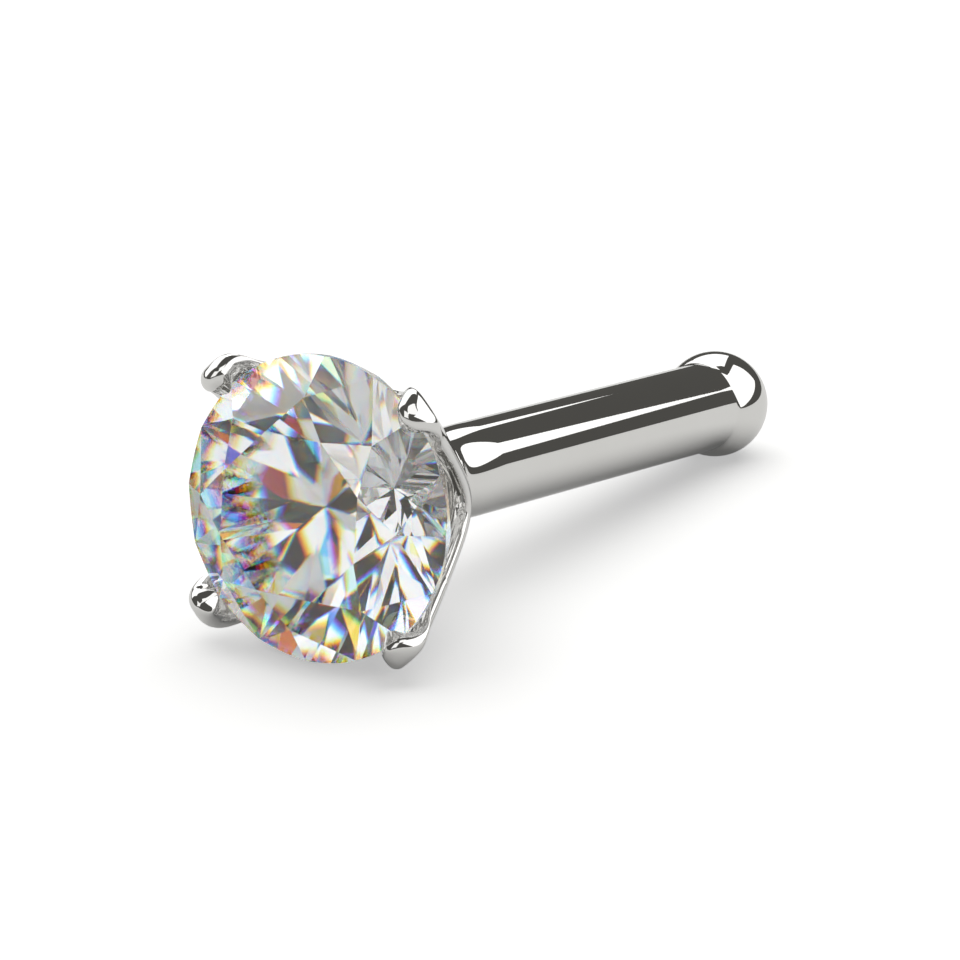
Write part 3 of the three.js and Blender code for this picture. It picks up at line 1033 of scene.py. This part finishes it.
@dataclass
class Studio:
    """The pale floor, the lamps and the camera."""

    surround: Colour = (0.086, 0.084, 0.078)
    floor_colour: Colour = (0.80, 0.80, 0.79)
    floor_glow: float = 0.12
    floor_lift: float = 0.37
    floor_reach: float = 600.0
    camera_at: Point = (20.571, -32.5156, 13.245)
    camera_aim: Point = (1.05, -2.3888, 1.4654)
    lens: float = 177.13
    clip: tuple[float, float] = (0.001, 10.0)
    bounces: int = 40
    mirror_bounces: int = 16
    softboxes: tuple[Softbox, ...] = (
        Softbox("right_softbox", 93.8, 33.3, 26.3, 67.0, 30.1, 1.35, roll_deg=19.1, aside=13.9),
        Softbox("back_softbox", -149.9, 44.9, 34.5, 18.0, 28.9, 1.35, roll_deg=4.7),
        Softbox("side_softbox", -103.0, 38.0, 40.0, 40.0, 46.0, 1.3),
        Softbox("left_softbox", -1.0, 30.0, 45.0, 27.0, 29.0, 1.05),
        Softbox("upper_softbox", 38.0, 58.0, 45.0, 24.0, 19.0, 1.15),
        Softbox("overhead_fill", -140.0, 70.0, 160.0, 300.0, 300.0, 1.4, reach=Reach.FLOOR),
    )

    def floor_material(self) -> bpy.types.Material:
        """Builds the floor's material: matt, lifted to white in the picture, dark in the facets' mirrors.

        Returns:
            The material.
        """
        material, nodes, links = new_material("pale_floor")
        matt = nodes.new("ShaderNodeBsdfDiffuse")
        matt.inputs["Color"].default_value = (*self.floor_colour, 1.0)
        lift = nodes.new("ShaderNodeEmission")
        shade = nodes.new("ShaderNodeEmission")
        shade.inputs["Color"].default_value = (*self.surround, 1.0)
        path = nodes.new("ShaderNodeLightPath")
        strength = nodes.new("ShaderNodeMath")
        strength.operation = "MULTIPLY_ADD"
        strength.inputs[1].default_value = self.floor_lift
        strength.inputs[2].default_value = self.floor_glow
        facets = nodes.new("ShaderNodeMath")
        facets.operation = "SUBTRACT"
        facets.use_clamp = True
        both = nodes.new("ShaderNodeAddShader")
        seen = nodes.new("ShaderNodeMixShader")
        output = nodes.new("ShaderNodeOutputMaterial")
        links.new(path.outputs["Is Camera Ray"], strength.inputs[0])
        links.new(strength.outputs[0], lift.inputs["Strength"])
        links.new(path.outputs["Is Singular Ray"], facets.inputs[0])
        links.new(path.outputs["Is Transmission Ray"], facets.inputs[1])
        links.new(matt.outputs["BSDF"], both.inputs[0])
        links.new(lift.outputs["Emission"], both.inputs[1])
        links.new(facets.outputs[0], seen.inputs["Fac"])
        links.new(both.outputs["Shader"], seen.inputs[1])
        links.new(shade.outputs["Emission"], seen.inputs[2])
        links.new(seen.outputs["Shader"], output.inputs["Surface"])
        return material

    def lay_floor(self) -> bpy.types.Object:
        """Lays the floor.

        Returns:
            The floor's object.
        """
        mesh = bpy.data.meshes.new("studio_floor")
        far = self.floor_reach * MM
        corners = [(-far, -far, 0.0), (far, -far, 0.0), (far, far, 0.0), (-far, far, 0.0)]
        mesh.from_pydata(corners, [], [(0, 1, 2, 3)])
        mesh.materials.append(self.floor_material())
        floor = bpy.data.objects.new("studio_floor", mesh)
        bpy.context.scene.collection.objects.link(floor)
        return floor

    def set_surround(self) -> None:
        """Gives the scene its dark grey surround."""
        world = bpy.data.worlds.new("studio_surround")
        world.use_nodes = True
        world.node_tree.nodes["Background"].inputs["Color"].default_value = (*self.surround, 1.0)
        bpy.context.scene.world = world

    def set_camera(self) -> None:
        """Stands the camera where the photograph was taken from."""
        lens = bpy.data.cameras.new("studio_camera")
        lens.lens = self.lens
        lens.clip_start, lens.clip_end = self.clip
        camera = bpy.data.objects.new("studio_camera", lens)
        camera.location = Vector(self.camera_at) * MM
        look = Vector(self.camera_aim) - Vector(self.camera_at)
        camera.rotation_euler = look.to_track_quat("-Z", "Y").to_euler()
        bpy.context.scene.collection.objects.link(camera)
        bpy.context.scene.camera = camera

    def set_picture(self) -> None:
        """Sets how light is traced and shown."""
        scene = bpy.context.scene
        scene.view_settings.view_transform = "Standard"
        scene.view_settings.look = "None"
        scene.cycles.max_bounces = self.bounces
        scene.cycles.transmission_bounces = self.bounces
        scene.cycles.glossy_bounces = self.mirror_bounces
        scene.cycles.caustics_reflective = False
        scene.cycles.caustics_refractive = False
        scene.cycles.blur_glossy = 0.0
        scene.cycles.sample_clamp_indirect = 0.0
        scene.cycles.use_denoising = True
        scene.cycles.use_adaptive_sampling = False

    def build(self) -> None:
        """Sets up the whole studio."""
        self.set_surround()
        self.lay_floor()
        for softbox in self.softboxes:
            softbox.place()
        self.set_camera()
        self.set_picture()


def main() -> None:
    """Builds the pieces in order and dresses the scene."""
    logging.basicConfig(level=logging.INFO, format="%(name)s: %(message)s")
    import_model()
    lie = Lie()
    copies = TurnedCopies()
    cut = BrilliantStone()
    grain = FineGrain()
    stone = cut.build(copies, ClearStone().material(grain), lie)
    setting = ClawSetting(stone=cut).build(copies, PolishedMetal().material(grain), lie)
    for piece, node, slot in ((stone, "round_stone", "clear_stone"), (setting, "stud_frame", "white_metal")):
        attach(piece, BODY)
        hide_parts(node)
        LOG.info("%s: %d faces, stands for %s", piece.name, len(piece.data.polygons), node)
    Studio().build()


if __name__ == "__main__":
    main()
